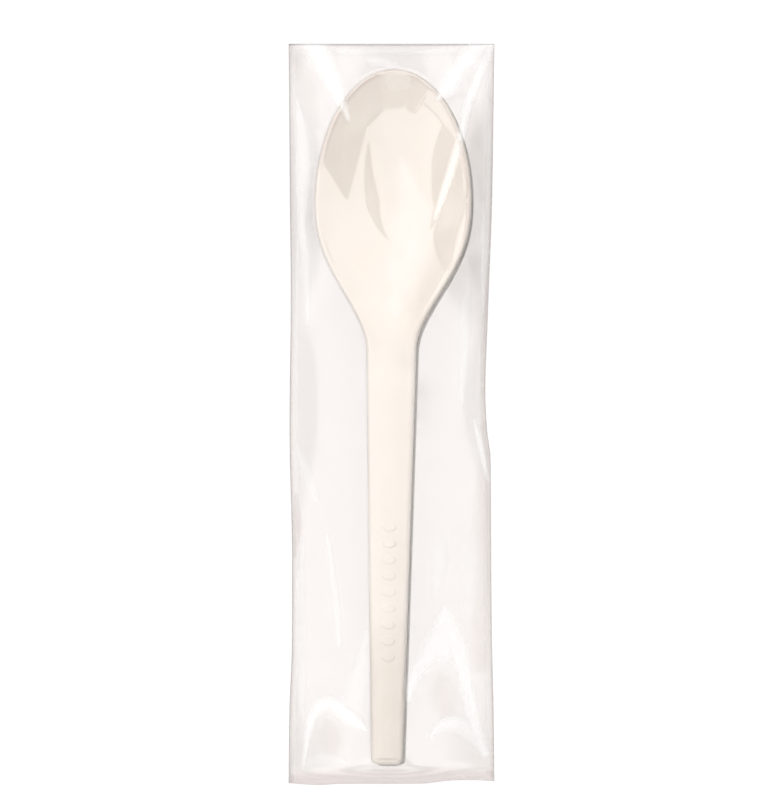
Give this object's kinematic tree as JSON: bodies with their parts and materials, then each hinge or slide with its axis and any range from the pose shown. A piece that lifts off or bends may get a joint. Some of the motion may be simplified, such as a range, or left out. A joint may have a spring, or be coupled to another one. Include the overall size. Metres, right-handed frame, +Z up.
{
  "type": "wrapped spoon",
  "caption": "Disposable moulded spoon with an oval bowl and a channel-section handle, closed in a clear film bag that is drawn over it like a tent.",
  "frame": {"origin": "under the middle of the bag, on the surface that it lies on", "axes": "+Y from the handle's end to the bowl's tip, +Z up out of the bowl, +X to the right when the bowl is at the top"},
  "size_m": [0.0496, 0.1784, 0.0114],
  "materials": {
    "spoon_plastic": "satin, cream, faintly mottled",
    "clear_film": "clear and glossy, creased"
  },
  "bodies": {
    "root": {"spoon": "spoon_plastic", "film_wrapper": "clear_film"}
  },
  "joints": []
}
